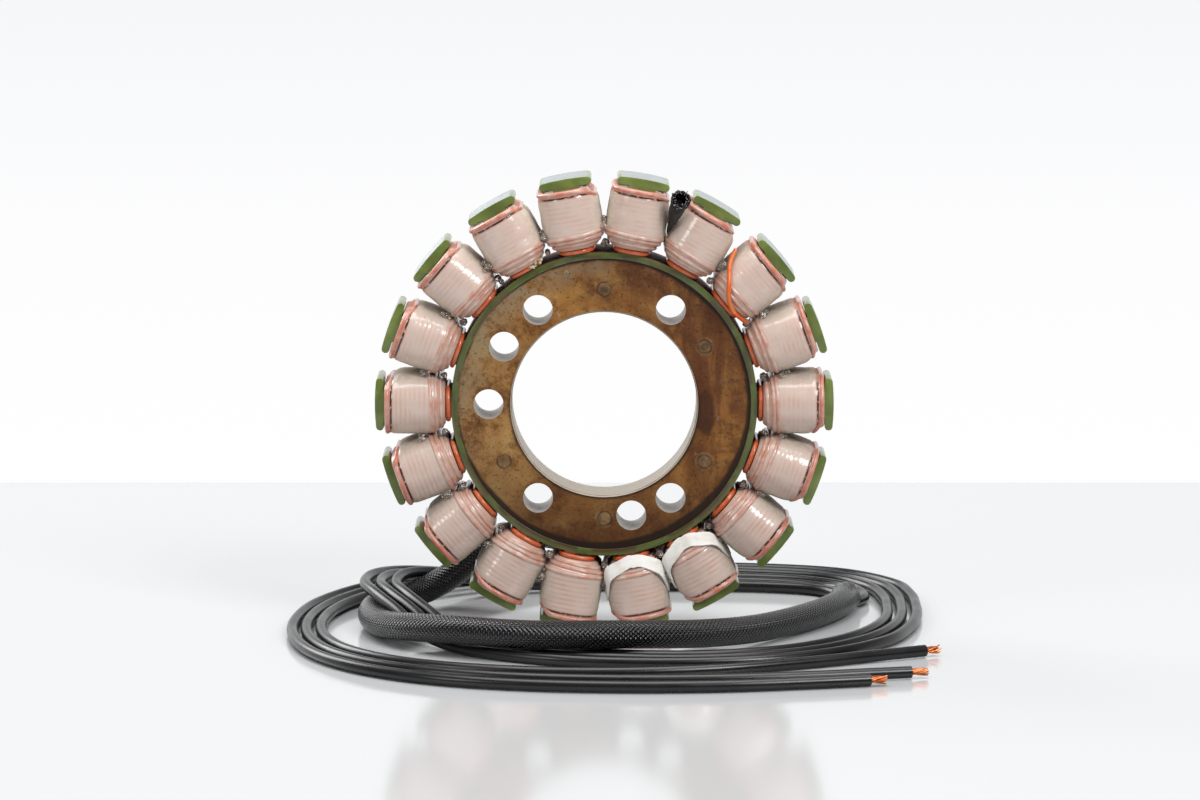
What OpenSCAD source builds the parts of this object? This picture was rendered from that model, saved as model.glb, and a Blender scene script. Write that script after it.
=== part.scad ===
// Wound stator of an outer-rotor alternator, standing on its rim, with its lead harness.
// The axis runs along Y with the front face towards -Y, and z = 0 is the surface under the rim.

/* [Lamination stack] */
// Diameter over the ground pole faces
outer_d = 107; // [104:0.5:112]
// Diameter of the centre bore
bore_d = 43.2; // [40:0.2:44]
// Diameter of the bare ring at the roots of the teeth
root_d = 70.4; // [69:0.2:71]
// Thickness of the stack
stack_t = 14; // [12:0.5:18]
// Width of a bare tooth
tooth_w = 5.2; // [4.6:0.1:5.4]
// Width of a bare pole tip
tip_w = 11.3; // [10:0.1:12]
// Radial thickness of a bare pole tip
tip_t = 1.6; // [1.2:0.1:2]
// Chamfer at both ends of the bore
bore_chamfer = 0.4; // [0.2:0.1:0.8]

/* [Fixing holes] */
// Pitch circle of the fixing holes and the rivets
hole_pcd = 54; // [53:0.2:56]
// Diameter of a fixing hole
hole_d = 7; // [5:0.1:7.4]
// Angle of the four-bolt pattern above and below the horizontal
bolt_angle = 55; // [53:0.5:57]
// Diameter of a flush rivet
rivet_d = 3.1; // [2:0.1:3.2]

/* [Insulation coat] */
// Thickness of the epoxy coat
coat_t = 0.5; // [0.3:0.05:0.6]
// Width of the coated margin on the hub faces
coat_margin = 1.5; // [1.2:0.1:2.5]
// Corner radius of a coated pole tip
tip_corner = 0.8; // [0.4:0.1:0.9]

/* [Winding] */
// Diameter of the enamelled wire
wire_d = 1.1; // [1:0.05:1.2]
// Layers of wire on a tooth
layers = 4; // [3:1:4]
// Room left between neighbouring coils
coil_room = 0.3; // [0.2:0.05:0.6]

/* [Harness] */
// Diameter of the harness sleeve
sleeve_d = 6.5; // [5:0.1:6.6]
// Diameter of an insulated lead
lead_d = 2.7; // [2:0.1:2.7]
// Diameter of the bare strands
strand_d = 1.6; // [1:0.1:1.8]
// Diameter of the star sleeve
star_d = 3.9; // [3:0.1:4]
// Width of a lacing band
lacing_w = 2.9; // [2:0.1:3.2]
// Thickness of a lacing band
lacing_t = 0.4; // [0.3:0.05:0.45]

/* [Hidden] */
$fn = 64;
pole_count = 18;
pole_step = 360 / pole_count;
coil_names = [for (i = [1 : pole_count]) str("coil_", i < 10 ? "0" : "", i)];

// Small clearance between pieces that are wound or pressed together
fit = 0.04;
eps = 0.01;

// Radii of the stack, bare and coated
tip_r = outer_d / 2;
tip_in_r = tip_r - tip_t;
tip_seat_r = tip_in_r - coat_t;
root_r = root_d / 2;
rim_r = root_r + coat_t;
hole_r = hole_pcd / 2;
// Half sizes of a coated tooth and tip
tooth_hw = tooth_w / 2 + coat_t;
tooth_hd = stack_t / 2 + coat_t;
tip_hw = tip_w / 2 + coat_t;
// Angles of the fixing holes and the rivets
bolt_angles = [bolt_angle, 180 - bolt_angle, 180 + bolt_angle, -bolt_angle];
spare_angles = [150, 180, -76.5];
rivet_angles = [90, 30, -30, -90, -150];
// The two lowest tips carry the stator on the inner corners of their ground faces
tip_corner_x = tip_hw - tip_corner;
stand_angle = pole_step / 2 - asin(tip_corner_x / tip_r);
stand_h = tip_r * cos(stand_angle);

// Winding: turns along the tooth, and how far each turn's top layer stands off the coated tooth
nest = 0.87;
turn_face = 0.22 * wire_d;
turn_edge = wire_d / 2;
turn_dip = 0.22 * wire_d;
turns = floor((tip_seat_r - rim_r - 2 * fit) / wire_d);
full_build = wire_d * (1 + nest * (layers - 1));
function turn_r(i) = tip_seat_r - fit - wire_d * (i + 0.5);
function slot_build(i) = turn_r(i) * tan(pole_step / 2) - tooth_hw - coil_room / 2;
function start_build(i) = wire_d * (1 + nest * (turns - 1 - i));
function turn_build(i) = min(full_build, slot_build(i), start_build(i));
// The end turns are half rounds about a line just inside each end of the tooth
corner_cover = 0.7 * wire_d;
end_z = tooth_hd - sqrt(pow(tooth_hw + corner_cover, 2) - pow(tooth_hw, 2));
// Axial place of a turn's top over the middle of the tooth
function turn_top(i) = end_z + tooth_hw + turn_build(i);

// Crossover wires, stacked on the coated margin at the back of the hub
crossover_r = rim_r - wire_d / 2;
function crossover_z(k) = -tooth_hd - fit - wire_d * (k + 0.5) - fit * k;
crossover_start = -22;
function crossover_span(k) = 266 - pole_step * k;

// Harness sleeve behind the coils: radius and depth of its centre line there
bundle_r = 36;
seat_turn = turns - 3;
seat_off = turn_r(seat_turn) - turn_face - bundle_r;
bundle_lift = sqrt(max(0, pow(sleeve_d / 2, 2) - pow(seat_off, 2)));
bundle_y = turn_top(seat_turn) + bundle_lift + 2 * fit;
bundle_angles = [-47, -61, -75, -89, -102];
bundle_run = [for (a = bundle_angles) [bundle_r * cos(a), bundle_y, stand_h + bundle_r * sin(a)]];
sleeve_lay = [
    [-17, 17, 19], [-25, 19, 16.5], [-31.5, 21.3, 12], [-38, 22.5, 7], [-44.5, 20.5, 4], [-50.8, 13.5, 3.36],
    [-54.3, 3, 3.3], [-54, -10, 3.3], [-50, -23, 4], [-42.5, -34, 5.4], [-31.5, -42.5, 6.2],
    [-17.5, -47.3, 6.2], [-3, -47.5, 6.2], [10.5, -44, 5.6], [23.5, -36, 4.4], [35, -25, 3.5],
    [44.8, -12.5, 3.3], [51.8, -0.5, 3.3], [56, 10, 3.3], [57.8, 19.5, 3.3]
];
sleeve_route = concat(bundle_run, sleeve_lay);
// Leads: from the sleeve's mouth, back round the stator, over and under the sleeve, and round again
lead_a_route = [
    [56.6, 20.3, 1.7], [57.2, 30.5, 1.4], [51, 39.3, 1.4], [39.5, 43.5, 1.4], [24, 45.3, 1.4], [6, 46, 1.4],
    [-12, 44.5, 1.6], [-28, 38, 3.6], [-40, 29, 7.4], [-47.3, 18.5, 8.9], [-49.3, 7.5, 8.5], [-46.5, -4, 8],
    [-41, -14.5, 5.8], [-34.8, -24.5, 2.8], [-27, -33, 1.4], [-16.5, -40, 1.4], [-4, -45, 1.4],
    [12, -48.5, 1.4], [28, -47, 1.4], [43, -40, 1.4], [55, -28, 1.4], [62.5, -14, 1.4], [66.3, 0, 1.4],
    [67.3, 14, 1.4], [67.2, 28, 1.4], [64.2, 43, 1.4], [53.3, 56.5, 1.4], [31, 63, 1.4], [6, 63.8, 1.4],
    [-15, 61, 1.4], [-34, 53.5, 1.4], [-50.5, 39.5, 1.4], [-61.5, 20, 1.4], [-66, -1, 1.4], [-65, -22, 1.4],
    [-59, -40, 1.4], [-48, -54, 1.4], [-33, -63, 1.4], [-14, -68, 1.4], [6, -68.5, 1.4], [26, -64.5, 1.4],
    [46, -56, 1.4], [61, -48, 1.4], [73.2, -41.5, 1.4]
];
lead_b_route = [
    [57.9, 19.9, 4.4], [59.9, 30.2, 3.1], [54.6, 41.6, 1.4], [42.3, 48.4, 1.4], [25, 51, 1.4], [6, 52, 1.4],
    [-14, 50, 1.8], [-31, 43, 3.6], [-44, 32, 6.4], [-51, 20.5, 8.2], [-53, 8.5, 8.4], [-50.2, -4, 8.2],
    [-44.6, -15.5, 6.2], [-38.3, -26.5, 2.8], [-30.7, -35.7, 1.4], [-20.5, -43, 1.4], [-8, -48.7, 1.4],
    [6, -52, 1.4], [20, -52.7, 1.4], [36, -49, 1.4], [50.5, -40, 1.4], [61.5, -26, 1.4], [67.5, -11.5, 1.4],
    [70, 2, 1.4], [70.8, 16, 1.4], [70.5, 30.5, 1.4], [67.4, 45.3, 1.4], [55.3, 60, 1.4], [32, 66.8, 1.4],
    [6, 67.6, 1.4], [-16, 65, 1.4], [-36, 57, 1.4], [-53.5, 42, 1.4], [-64.8, 21, 1.4], [-69.3, -1, 1.4],
    [-68.5, -23, 1.4], [-62.5, -43, 1.4], [-51, -59, 1.4], [-35, -69.5, 1.4], [-15, -75.5, 1.4],
    [6, -77.5, 1.4], [27, -76.5, 1.4], [45, -73.5, 1.4], [58, -70.3, 1.4], [68.6, -67.7, 1.4]
];
lead_c_route = [
    [59.3, 19.8, 1.7], [62.6, 29.2, 1.4], [59.2, 42.6, 1.4], [46, 53, 1.4], [26.5, 56.8, 1.4], [6, 57.8, 1.4],
    [-15, 56, 1.8], [-33, 48.2, 3.8], [-47, 36, 6.6], [-54.5, 22.7, 8.2], [-56.7, 9.5, 8.4], [-53.8, -4, 8.2],
    [-48.1, -16.5, 6.2], [-41.8, -27.5, 2.8], [-34.2, -37.2, 1.4], [-24.5, -45.8, 1.4], [-12, -52.5, 1.4],
    [3, -56.2, 1.4], [20, -56.6, 1.4], [38, -52.8, 1.4], [54, -43, 1.4], [65.5, -28.5, 1.4], [71, -13, 1.4],
    [73.6, 2, 1.4], [74.3, 17, 1.4], [73.9, 32, 1.4], [70.6, 47.6, 1.4], [57.4, 63.4, 1.4], [33, 70.6, 1.4],
    [6, 71.4, 1.4], [-17, 69, 1.4], [-38, 60.5, 1.4], [-56.5, 44.5, 1.4], [-68, 22.5, 1.4], [-72.5, -1, 1.4],
    [-71.8, -24, 1.4], [-65.7, -46, 1.4], [-54, -63.5, 1.4], [-37, -76, 1.4], [-16, -82.8, 1.4],
    [6, -85, 1.4], [26, -84, 1.4], [43, -80.8, 1.4], [59, -77, 1.4]
];
// Length of the stripped strands
strand_run = 4.5;

// Jumper wire over one coil: angle from the middle of its pole, then how far it lies outside the coated rim
// and above the line round which the end turns bend
jumper_pole = 40;
jumper_track = [
    [9.9, 11.7, 2.02], [9.2, 9.3, 3.62], [7.4, 7.1, 5.82], [4.4, 4.7, 7.22], [1.1, 2.6, 7.02],
    [-3.3, 1.6, 5.72], [-6.9, 2, 4.12], [-9.5, 2.6, 2.62], [-9.95, 2.7, 1.42]
];
jumper_route = [
    for (p = jumper_track) [(rim_r + p[1]) * cos(p[0]), (rim_r + p[1]) * sin(p[0]), end_z + p[2]]
];

// Stands the stator, drawn about the Z axis with its front up, on its rim
module upright() {
    translate([0, 0, stand_h])
        rotate([90, 0, 0])
            children();
}

// Places a shape drawn for the pole at angle 0 on the pole at the given angle
module at_pole(angle) {
    rotate([0, 0, angle])
        children();
}

// Routes: a smooth curve through the given points, and rings of points round it
route_steps = 2;
function between(p, q, r, s, t) =
    0.5 * (2 * q + (r - p) * t + (2 * p - 5 * q + 4 * r - s) * t * t + (3 * q - p - 3 * r + s) * t * t * t);
function smooth(pts, n) = concat(
    [
        for (i = [0 : len(pts) - 2], k = [0 : n - 1])
            between(pts[max(i - 1, 0)], pts[i], pts[i + 1], pts[min(i + 2, len(pts) - 1)], k / n)
    ],
    [pts[len(pts) - 1]]
);
function unit(v) = v / norm(v);
function heading(pts, i) = unit(pts[min(i + 1, len(pts) - 1)] - pts[max(i - 1, 0)]);
function ring(p, t, up, r, sides) =
    let (across = unit(cross(t, up)), over = cross(across, t))
        [for (j = [0 : sides - 1]) p + r * (across * cos(360 * j / sides) + over * sin(360 * j / sides))];
function skin(count, sides) = [
    for (i = [0 : count - 2], j = [0 : sides - 1])
        let (a = i * sides, b = a + sides, k = (j + 1) % sides)
            each [[a + j, b + j, b + k], [a + j, b + k, a + k]]
];
function caps(count, sides) = [
    [for (j = [0 : sides - 1]) j],
    [for (j = [sides - 1 : -1 : 0]) (count - 1) * sides + j]
];

// A plain tube along a route
module tube(route, d, sides = 8, up = [0, 0, 1]) {
    path = smooth(route, route_steps);
    count = len(path);
    points = [for (i = [0 : count - 1]) each ring(path[i], heading(path, i), up, d / 2, sides)];
    polyhedron(points, concat(skin(count, sides), caps(count, sides)));
}

// Outline of one pole tip with rounded corners, bare or coated
module tip_outline(hw, in_r, corner) {
    round = 0.3 * corner;
    arc_x = sqrt(tip_r * tip_r - pow(hw - corner, 2));
    half = [
        [in_r, hw - corner], [in_r + round, hw - round], [in_r + corner, hw], [arc_x - corner, hw],
        [arc_x - round, hw - round], [arc_x, hw - corner], [tip_r + corner, hw - corner]
    ];
    intersection() {
        circle(r = tip_r);
        polygon(concat(half, [for (i = [len(half) - 1 : -1 : 0]) [half[i][0], -half[i][1]]]));
    }
}

// Outline of the ring, teeth and tips, grown by the given coat
module pole_outline(coat, corner) {
    circle(r = root_r + coat, $fn = 128);
    for (i = [0 : pole_count - 1])
        at_pole(i * pole_step) {
            translate([root_r / 2, -tooth_w / 2 - coat])
                square([tip_in_r - root_r / 2 + tip_t / 2, tooth_w + 2 * coat]);
            tip_outline(tip_w / 2 + coat, tip_in_r - coat, corner);
        }
}

// Round holes through the hub on the pitch circle
module on_pitch_circle(angles, d, h) {
    for (a = angles)
        rotate([0, 0, a])
            translate([hole_r, 0, 0])
                cylinder(d = d, h = h, center = true);
}

module lamination_stack() {
    color("#7A5A36")
        upright()
            difference() {
                linear_extrude(height = stack_t, center = true)
                    pole_outline(0, tip_corner / 2);
                cylinder(d = bore_d, h = stack_t + 1, center = true);
                for (side = [0, 180])
                    rotate([side, 0, 0])
                        translate([0, 0, stack_t / 2 - bore_chamfer])
                            cylinder(r1 = bore_d / 2, r2 = bore_d / 2 + bore_chamfer + eps, h = bore_chamfer + eps);
                on_pitch_circle(bolt_angles, hole_d, stack_t + 1);
                on_pitch_circle(spare_angles, hole_d, stack_t + 1);
                on_pitch_circle(rivet_angles, rivet_d + 2 * fit, stack_t + 1);
            }
}

module insulation_coat() {
    color("#6E7F3C")
        upright()
            difference() {
                linear_extrude(height = 2 * tooth_hd, center = true)
                    pole_outline(coat_t, tip_corner);
                linear_extrude(height = stack_t, center = true)
                    pole_outline(0, tip_corner / 2);
                cylinder(r = rim_r - coat_margin, h = 2 * tooth_hd + 1, center = true);
            }
}

module core_rivets() {
    color("#8C7A5C")
        upright()
            on_pitch_circle(rivet_angles, rivet_d, stack_t);
}

// Half section of a winding: layers of wire from the tooth outwards, with a ridge for each top turn
module winding_section() {
    ridge = [[-turn_dip, turn_edge], [0, turn_face], [0, -turn_face], [-turn_dip, -turn_edge]];
    polygon(concat(
        [[0, turn_r(0) + turn_edge]],
        [for (i = [0 : turns - 1], p = ridge) [tooth_hw + turn_build(i) + p[0], turn_r(i) + p[1]]],
        [[0, turn_r(turns - 1) - turn_edge]]
    ));
}

// One coil, wound round a tooth that stands along Z, with its ends towards +Y and -Y
module winding() {
    difference() {
        union() {
            rotate([90, 0, 0])
                linear_extrude(height = 2 * end_z, center = true) {
                    winding_section();
                    mirror([1, 0])
                        winding_section();
                }
            for (end = [0, 180])
                rotate([0, 0, end])
                    translate([0, end_z, 0])
                        rotate_extrude(angle = 180)
                            winding_section();
        }
        translate([0, 0, tip_r / 2])
            cube([2 * (tooth_hw + fit), 2 * (tooth_hd + fit), 2 * tip_r], center = true);
    }
}

module coil(index) {
    color("#CBB29F")
        upright()
            at_pole((index - 1) * pole_step)
                rotate([90, 0, 90])
                    winding();
}

module crossover(k) {
    color("#8E3F2F")
        upright()
            translate([0, 0, crossover_z(k)])
                rotate([0, 0, crossover_start])
                    rotate_extrude(angle = crossover_span(k))
                        translate([crossover_r, 0])
                            circle(d = wire_d, $fn = 24);
}

// Tail that carries on from a crossover's start into the end of the harness sleeve
module phase_tail(k) {
    spread = (k - 1) * wire_d;
    from = [crossover_r, crossover_start - 0.3, crossover_z(k) - fit];
    into = [bundle_r + 1.5 * spread, bundle_angles[0] + 0.9, 0.9 - bundle_y - 1.1 * spread];
    track = [
        from, [from[0], from[1] - 2, from[2] - 4 * fit],
        [(from[0] + into[0]) / 2, (from[1] + into[1]) / 2, (from[2] + into[2]) / 2],
        [into[0], into[1] + 2, into[2]], into
    ];
    color("#B5562F")
        upright()
            tube([for (p = track) [p[0] * cos(p[1]), p[0] * sin(p[1]), p[2]]], wire_d);
}

// Star point: the sleeve lies in the valley between two coils, with its mouth past the pole tips
star_angle = 70;
star_from = [tip_r - 7.3, end_z + 4.32];
star_to = [tip_r - 1.7, end_z + 7.9];
star_len = norm(star_to - star_from);
star_tilt = atan2(star_to[0] - star_from[0], star_to[1] - star_from[1]);
star_bore = star_d - 1;
star_stub = 0.6;

module at_star() {
    upright()
        rotate([0, 0, star_angle])
            translate([star_from[0], 0, star_from[1]])
                rotate([0, star_tilt, 0])
                    children();
}

module star_sleeve() {
    color("#2C2C30")
        at_star()
            difference() {
                cylinder(d = star_d, h = star_len);
                translate([0, 0, -eps])
                    cylinder(d = star_bore, h = star_len + 2 * eps);
            }
}

// Three phase ends laid side by side and soldered inside the star sleeve
module star_joint() {
    joint_d = star_bore / (1 + 2 / sqrt(3)) - fit;
    color("#D0795A")
        at_star()
            for (k = [0 : 2])
                rotate([0, 0, 120 * k])
                    translate([joint_d / sqrt(3), 0, -star_stub])
                        cylinder(d = joint_d - fit, h = star_len - star_stub);
}

module jumper_wire() {
    color("#D8641E")
        upright()
            at_pole(jumper_pole)
                tube(jumper_route, wire_d, up = [0.1, 0, 1]);
}

// Lacing band: a flat loop over the inner end of a coil, back through both slots and round the harness
slot_leg_r = 46.9;
leg_off = tooth_hw + full_build + lacing_t / 2 + 2 * fit;
band_lift = lacing_t / 2 + 12 * fit;
first_r = turn_r(turns - 1);
first_top = turn_top(turns - 1) + band_lift / cos(atan(nest));
band_back_z = -bundle_y - sleeve_d / 2 - band_lift;
// Half of the loop, from the middle of the front to the middle of the back: place and width direction
band_half = [
    [[first_r + 0.6, 0, first_top + 0.6 * nest], [1, 0, nest]],
    [[first_r + 1.1, 2.5, first_top + 0.5], [1, -0.3, nest]],
    [[first_r + 3.5, 6.1, end_z + 5.15], [0.8, -0.15, 0.45]],
    [[slot_leg_r - 1.2, leg_off - 0.1, end_z + 2.3], [0.9, -0.1, 0.4]],
    [[slot_leg_r, leg_off, end_z - 1], [1, 0, 0]],
    [[slot_leg_r, leg_off, 1 - end_z], [1, 0, 0]],
    [[slot_leg_r - 0.6, leg_off - 0.1, -end_z - 2], [1, 0, 0]],
    [[bundle_r + 4.9, 5.6, -bundle_y + 1], [0.6, 0, 0.8]],
    [[bundle_r + 3.2, 2.8, -bundle_y - 3.2], [0.7, 0, 0.7]],
    [[bundle_r, 0, band_back_z], [1, 0, 0]]
];
band_last = len(band_half) - 1;
function mirrored(v) = [v[0], -v[1], v[2]];
band_loop = concat(
    band_half,
    [for (i = [band_last - 1 : -1 : 1]) [mirrored(band_half[i][0]), mirrored(band_half[i][1])]]
);

module lacing_band(angle) {
    count = len(band_loop);
    points = [
        for (i = [0 : count - 1])
            let (
                here = band_loop[i][0],
                ahead = band_loop[(i + 1) % count][0],
                behind = band_loop[(i + count - 1) % count][0],
                wide = unit(band_loop[i][1]) * lacing_w / 2,
                thick = unit(cross(ahead - behind, wide)) * lacing_t / 2
            )
                each [here - wide - thick, here + wide - thick, here + wide + thick, here - wide + thick]
    ];
    faces = [
        for (i = [0 : count - 1], j = [0 : 3])
            let (a = 4 * i, b = 4 * ((i + 1) % count), k = (j + 1) % 4)
                each [[a + j, b + k, b + j], [a + j, a + k, b + k]]
    ];
    color("#EDEBE4")
        upright()
            at_pole(angle)
                polyhedron(points, faces);
}

module harness_sleeve() {
    color("#2C2C30")
        tube(sleeve_route, sleeve_d, sides = 12);
}

module lead(route) {
    color("#3A3A3C")
        tube(route, lead_d);
}

module strands(route) {
    path = smooth(route, route_steps);
    last = len(path) - 1;
    along = heading(path, last);
    color("#E07B45")
        tube([path[last] + fit * along, path[last] + strand_run * along], strand_d);
}

lamination_stack();
insulation_coat();
core_rivets();
for (i = [1 : pole_count])
    coil(i);
crossover(0);  // crossover_a
crossover(1);  // crossover_b
crossover(2);  // crossover_c
phase_tail(0);  // phase_tail_a
phase_tail(1);  // phase_tail_b
phase_tail(2);  // phase_tail_c
star_joint();
star_sleeve();
jumper_wire();
lacing_band(-60);  // lacing_band_1
lacing_band(-80);  // lacing_band_2
harness_sleeve();
lead(lead_a_route);  // lead_a
lead(lead_b_route);  // lead_b
lead(lead_c_route);  // lead_c
strands(lead_a_route);  // strands_a
strands(lead_b_route);  // strands_b
strands(lead_c_route);  // strands_c
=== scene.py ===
import math
import random

import bpy
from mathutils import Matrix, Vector, noise


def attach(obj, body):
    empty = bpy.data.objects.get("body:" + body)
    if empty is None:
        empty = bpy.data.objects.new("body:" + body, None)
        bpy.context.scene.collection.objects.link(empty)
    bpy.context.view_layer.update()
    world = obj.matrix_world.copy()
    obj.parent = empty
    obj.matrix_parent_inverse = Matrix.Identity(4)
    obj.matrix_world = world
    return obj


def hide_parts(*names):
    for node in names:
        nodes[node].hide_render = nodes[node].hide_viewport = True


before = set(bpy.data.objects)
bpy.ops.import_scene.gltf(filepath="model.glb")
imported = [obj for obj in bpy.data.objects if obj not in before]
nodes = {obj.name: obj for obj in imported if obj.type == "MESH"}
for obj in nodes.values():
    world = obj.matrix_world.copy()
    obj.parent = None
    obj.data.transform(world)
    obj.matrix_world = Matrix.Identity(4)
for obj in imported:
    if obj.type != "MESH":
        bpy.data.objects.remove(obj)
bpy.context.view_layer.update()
print("frame loaded,", len(nodes), "nodes")

mm = 0.001
fullTurn = 2 * math.pi
upward = Vector((0, 0, 1))
axisHeight = 53.352  # mm from the table to the stator's axis
poleCount = 18
poleStep = 360 / poleCount
wireWidth = 1.1  # mm over the enamel


# helpers: selection, places and curves
def selectOnly(*objs):
    bpy.ops.object.select_all(action="DESELECT")
    for obj in objs:
        obj.select_set(True)
    bpy.context.view_layer.objects.active = objs[0]


def startFrom(name, primitive, **settings):
    # a new primitive, with nothing else selected
    bpy.ops.object.select_all(action="DESELECT")
    primitive(**settings)
    obj = bpy.context.object
    obj.name = obj.data.name = name
    return obj


def joinAs(name, pieces):
    selectOnly(*pieces)
    if len(pieces) > 1:
        bpy.ops.object.join()
    obj = bpy.context.object
    obj.name = obj.data.name = name
    return obj


def dress(obj, skin):
    obj.data.materials.clear()
    obj.data.materials.append(skin)


def place(obj, slot, *replaced):
    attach(obj, "root")
    if replaced:
        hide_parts(*replaced)
    return obj


def atPole(angle, along, across, depth):
    # a pole's own place: along its tooth, across it and out to the front, all in mm
    c, s = math.cos(math.radians(angle)), math.sin(math.radians(angle))
    return Vector((along * c - across * s, -depth, axisHeight + along * s + across * c)) * mm


def onCircle(angle, radius, depth):
    return atPole(angle, radius, 0, depth)


def sidesOf(heading):
    # two directions square to a cord's heading: sideways, and up
    side = heading.cross(upward).normalized()
    return side, side.cross(heading)


def curveAt(p, q, r, s, t):
    # the same rounded curve from q to r as the solids follow
    return 0.5 * (2 * q + (r - p) * t + (2 * p - 5 * q + 4 * r - s) * t * t
                  + (3 * q - p - 3 * r + s) * t * t * t)


def smoothRoute(points, steps):
    line, last = [], len(points) - 1
    for i in range(last):
        near = [points[min(max(i + k, 0), last)] for k in (-1, 0, 1, 2)]
        line += [curveAt(*near, k / steps) for k in range(steps)]
    return line + [points[last]]


def routeLength(line):
    return sum((b - a).length for a, b in zip(line, line[1:]))


def between(value, table):
    # straight-line reading of a table of (place, size) pairs
    for (x0, y0), (x1, y1) in zip(table, table[1:]):
        if value <= x1:
            return y0 + (y1 - y0) * max(0.0, value - x0) / max(1e-9, x1 - x0)
    return table[-1][1]


def ease(value, low, high):
    t = min(1.0, max(0.0, (value - low) / (high - low)))
    return t * t * (3 - 2 * t)


def wireCurve(name, line, width, skin, closed=False, rounds=3):
    curve = bpy.data.curves.new(name, "CURVE")
    curve.dimensions = "3D"
    curve.bevel_depth = width / 2 * mm
    curve.bevel_resolution = rounds
    curve.use_fill_caps = not closed
    spline = curve.splines.new("POLY")
    spline.points.add(len(line) - 1)
    for point, spot in zip(spline.points, line):
        point.co = (*spot, 1)
    spline.use_cyclic_u = closed
    spline.use_smooth = True
    curve.materials.append(skin)
    obj = bpy.data.objects.new(name, curve)
    bpy.context.scene.collection.objects.link(obj)
    return obj


def wireMesh(name, line, width, skin, closed=False, rounds=3):
    selectOnly(wireCurve(name, line, width, skin, closed, rounds))
    bpy.ops.object.convert(target="MESH")
    bpy.ops.object.shade_smooth()
    return bpy.context.object


def mapPlaces(obj, name, station):
    # a UV map that holds each vertex's own place on its cord or tape
    uvMap = obj.data.uv_layers.new(name=name)
    for corner in obj.data.loops:
        uvMap.data[corner.index].uv = station[corner.vertex_index]


def closeAndThicken(obj, wall):
    # welds the seam of a grid that was rolled up and gives it its wall, in mm
    bpy.ops.object.mode_set(mode="EDIT")
    bpy.ops.mesh.select_all(action="SELECT")
    bpy.ops.mesh.remove_doubles(threshold=1e-6)
    bpy.ops.mesh.normals_make_consistent(inside=False)
    bpy.ops.object.mode_set(mode="OBJECT")
    thick = obj.modifiers.new("wall", "SOLIDIFY")
    thick.thickness = wall * mm
    thick.offset = 0
    bpy.ops.object.modifier_apply(modifier="wall")


# camera at the photograph's viewing angle
camera = dict(place=(-1.0, -1287.0, 233.06), lookAt=(-1.0, 0.0, 53.36), lens=166.3, sensor=36)
cameraData = bpy.data.cameras.new("camera")
cameraData.lens = camera["lens"]
cameraData.sensor_width = camera["sensor"]
cameraData.clip_start = 0.01
cameraObject = bpy.data.objects.new("camera", cameraData)
cameraObject.location = Vector(camera["place"]) * mm
sight = Vector(camera["lookAt"]) * mm - cameraObject.location
cameraObject.rotation_euler = sight.to_track_quat("-Z", "Y").to_euler()
bpy.context.scene.collection.objects.link(cameraObject)
bpy.context.scene.camera = cameraObject
print("camera placed")


# materials
def linear(code):
    channels = [int(code[i:i + 2], 16) / 255 for i in (1, 3, 5)]
    return tuple(c / 12.92 if c <= 0.04045 else ((c + 0.055) / 1.055) ** 2.4 for c in channels) + (1.0,)


def setSockets(node, values):
    # a socket is linked, a hex code is turned to linear, and anything else is set as it is
    for key, value in values.items():
        if isinstance(value, bpy.types.NodeSocket):
            node.id_data.links.new(value, node.inputs[key])
        else:
            node.inputs[key].default_value = linear(value) if isinstance(value, str) else value


def addNode(tree, kind, values=None, stops=None, **settings):
    node = tree.nodes.new("ShaderNode" + kind)
    for key, value in settings.items():
        setattr(node, key, value)
    setSockets(node, values or {})
    if stops:
        elements = node.color_ramp.elements
        while len(elements) < len(stops):
            elements.new(1.0)
        for element, (spot, code) in zip(elements, stops):
            element.position = spot
            element.color = linear(code)
    return node


def newMaterial(name, values):
    material = bpy.data.materials.new(name)
    material.use_nodes = True
    shader = material.node_tree.nodes["Principled BSDF"]
    setSockets(shader, values)
    return material, material.node_tree, shader


def placeOf(tree):
    return addNode(tree, "TexCoord").outputs["Object"]


def uvOf(tree, name):
    outputs = addNode(tree, "SeparateXYZ", {"Vector": addNode(tree, "UVMap", uv_map=name).outputs["UV"]}).outputs
    return outputs["X"], outputs["Y"]


def noiseOf(tree, scale, detail, rough=0.5, twist=0.0, vector=None):
    return addNode(tree, "TexNoise", {
        "Vector": placeOf(tree) if vector is None else vector, "Scale": scale, "Detail": detail,
        "Roughness": rough, "Distortion": twist}).outputs["Fac"]


# each of these adds its node to the tree that its first socket belongs to
def maths(operation, first, *others):
    return addNode(first.id_data, "Math", dict(enumerate((first, *others))), operation=operation).outputs[0]


def times(first, second):
    return maths("MULTIPLY", first, second)


def scaled(value, factor, added):
    return maths("MULTIPLY_ADD", value, factor, added)


def span(value, low, high, most=1.0, least=0.0):
    # least where the value is at low, most where it is at high
    return addNode(value.id_data, "MapRange", {
        "Value": value, "From Min": low, "From Max": high, "To Min": least, "To Max": most}).outputs[0]


def ramp(value, *stops):
    return addNode(value.id_data, "ValToRGB", {"Fac": value}, stops=stops).outputs[0]


def over(share, below, colour):
    return addNode(share.id_data, "Mix", {0: share, 6: below, 7: colour}, data_type="RGBA").outputs[2]


def bumped(height, strength, distance, below=None):
    values = {"Height": height, "Strength": strength, "Distance": distance}
    if below is not None:
        values["Normal"] = below
    return addNode(height.id_data, "Bump", values).outputs[0]


def distanceTo(spot, vector):
    return addNode(vector.id_data, "VectorMath", {0: vector, 1: spot}, operation="DISTANCE").outputs["Value"]


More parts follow.
